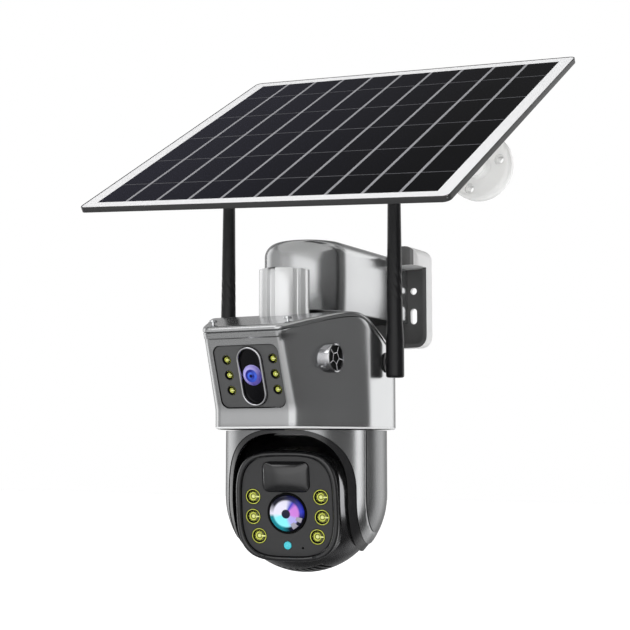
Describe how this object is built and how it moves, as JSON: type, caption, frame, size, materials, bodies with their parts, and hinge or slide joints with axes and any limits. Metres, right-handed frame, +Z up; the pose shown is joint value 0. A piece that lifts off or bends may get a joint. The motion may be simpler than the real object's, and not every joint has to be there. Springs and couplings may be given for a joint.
{
  "type": "solar-powered security camera",
  "caption": "Wall-mounted outdoor camera: fixed lens in an upper housing, pan and tilt ball camera in a yoke, two whip aerials, and a solar panel on its own swivel bracket",
  "frame": {"origin": "middle of the camera wall plate's back face, which lies on the wall", "axes": "+Z up, the wall is the plane Y = 0, the camera faces -Y, +X to the right seen from the front"},
  "size_m": [0.246, 0.2091, 0.3408],
  "materials": {
    "silver_shell": "satin metallic silver moulding",
    "light_silver": "light metallic silver",
    "plate_grey": "light grey",
    "dark_plastic": "glossy dark grey",
    "black_plastic": "satin black",
    "black_glass": "black window",
    "lens_glass": "coated lens",
    "lamp_cup": "yellow lamp cup",
    "cyan_light": "cyan diffuser",
    "white_plastic": "glossy white",
    "solar_glass": "laminated solar cells",
    "panel_edge": "satin black edge",
    "rubber": "black rubber",
    "circuit_board": "green solder mask",
    "steel": "bright steel",
    "nylon": "natural nylon",
    "cell_wrap": "blue sleeve"
  },
  "bodies": {
    "root": {"wall_plate": "plate_grey", "arm_shell": "silver_shell", "arm_bottom_cover": "dark_plastic", "neck_post": "dark_plastic", "neck_column": "light_silver", "upper_shell": "silver_shell", "roof_cover": "silver_shell", "roof_gasket": "rubber", "roof_screw_1": "steel", "roof_screw_2": "steel", "roof_screw_3": "steel", "roof_screw_4": "steel", "fixed_window": "dark_plastic", "fixed_bezel": "light_silver", "fixed_glass": "black_glass", "fixed_lens": "lens_glass", "fixed_leds_left": "lamp_cup", "fixed_leds_right": "lamp_cup", "speaker_cap": "light_silver", "speaker_grille": "black_plastic", "pan_base_plate": "dark_plastic", "pan_motor": "steel", "main_board": "circuit_board", "battery_cell_1": "cell_wrap", "battery_cell_2": "cell_wrap", "battery_cell_3": "cell_wrap", "antenna_socket_left": "dark_plastic", "antenna_socket_right": "dark_plastic", "charge_port_cap": "rubber", "panel_base": "white_plastic"},
    "reset_button": {"reset_button": "rubber"},
    "pan_pinion": {"pan_pinion": "steel"},
    "yoke": {"yoke_shell": "silver_shell", "yoke_trim": "dark_plastic", "arm_cover_left": "silver_shell", "arm_cover_right": "silver_shell", "pan_gear": "nylon", "tilt_gear": "nylon"},
    "head": {"head_shell": "dark_plastic", "head_ring": "dark_plastic", "face_plate": "dark_plastic", "pir_window": "black_glass", "main_lens": "lens_glass", "head_leds_left": "lamp_cup", "head_leds_right": "lamp_cup", "status_light": "cyan_light", "sensor_board": "circuit_board", "tilt_motor": "steel"},
    "tilt_pinion": {"tilt_pinion": "steel"},
    "antenna_left": {"antenna_left": "black_plastic"},
    "antenna_right": {"antenna_right": "black_plastic"},
    "panel_arm": {"panel_arm": "white_plastic"},
    "panel": {"panel_frame": "panel_edge", "panel_cells": "solar_glass", "panel_backsheet": "white_plastic", "junction_box": "black_plastic", "panel_foot": "white_plastic"},
    "clamp_knob": {"clamp_knob": "black_plastic"}
  },
  "joints": [
    {"name": "pan", "type": "hinge", "parent": "root", "child": "yoke", "pos_m": [0, -0.095, -0.1295], "axis": [0, 0, 1], "range_deg": [-187.5, 167.5]},
    {"name": "tilt", "type": "hinge", "parent": "yoke", "child": "head", "pos_m": [0, -0.095, -0.1295], "axis": [0.9744, 0.225, 0], "range_deg": [-7.5, 82.5]},
    {"name": "pan_pinion_spin", "type": "hinge", "parent": "root", "child": "pan_pinion", "pos_m": [0.00158, -0.12506, -0.0858], "axis": [0, 0, 1], "range_deg": [-671, 751]},
    {"name": "tilt_pinion_spin", "type": "hinge", "parent": "head", "child": "tilt_pinion", "pos_m": [0.00053, -0.0973, -0.11156], "axis": [0.9744, 0.225, 0], "range_deg": [-16, 166]},
    {"name": "reset_press", "type": "slide", "parent": "root", "child": "reset_button", "axis": [0.0523, -0.9986, 0], "range_m": [0, 0.0012], "stiffness_N_per_m": 400},
    {"name": "antenna_left_swing", "type": "hinge", "parent": "root", "child": "antenna_left", "pos_m": [-0.062, -0.0914, -0.0485], "axis": [1, 0, 0], "range_deg": [-30, 10]},
    {"name": "antenna_right_swing", "type": "hinge", "parent": "root", "child": "antenna_right", "pos_m": [0.059, -0.0884, -0.0485], "axis": [1, 0, 0], "range_deg": [-30, 10]},
    {"name": "panel_swivel", "type": "hinge", "parent": "root", "child": "panel_arm", "pos_m": [0.0813, -0.02, 0.0869], "axis": [0, 1, 0], "range_deg": [-6, 25]},
    {"name": "panel_tilt", "type": "hinge", "parent": "panel_arm", "child": "panel", "pos_m": [0.0813, -0.078, 0.0869], "axis": [1, 0, 0], "range_deg": [-12, 10]},
    {"name": "clamp_turn", "type": "hinge", "parent": "panel_arm", "child": "clamp_knob", "pos_m": [0.0813, -0.078, 0.0869], "axis": [1, 0, 0], "range_deg": [0, 180]}
  ],
  "couplings": [
    {"joint": "pan_pinion_spin", "follows": "pan", "ratio": -4},
    {"joint": "tilt_pinion_spin", "follows": "tilt", "ratio": 2}
  ]
}
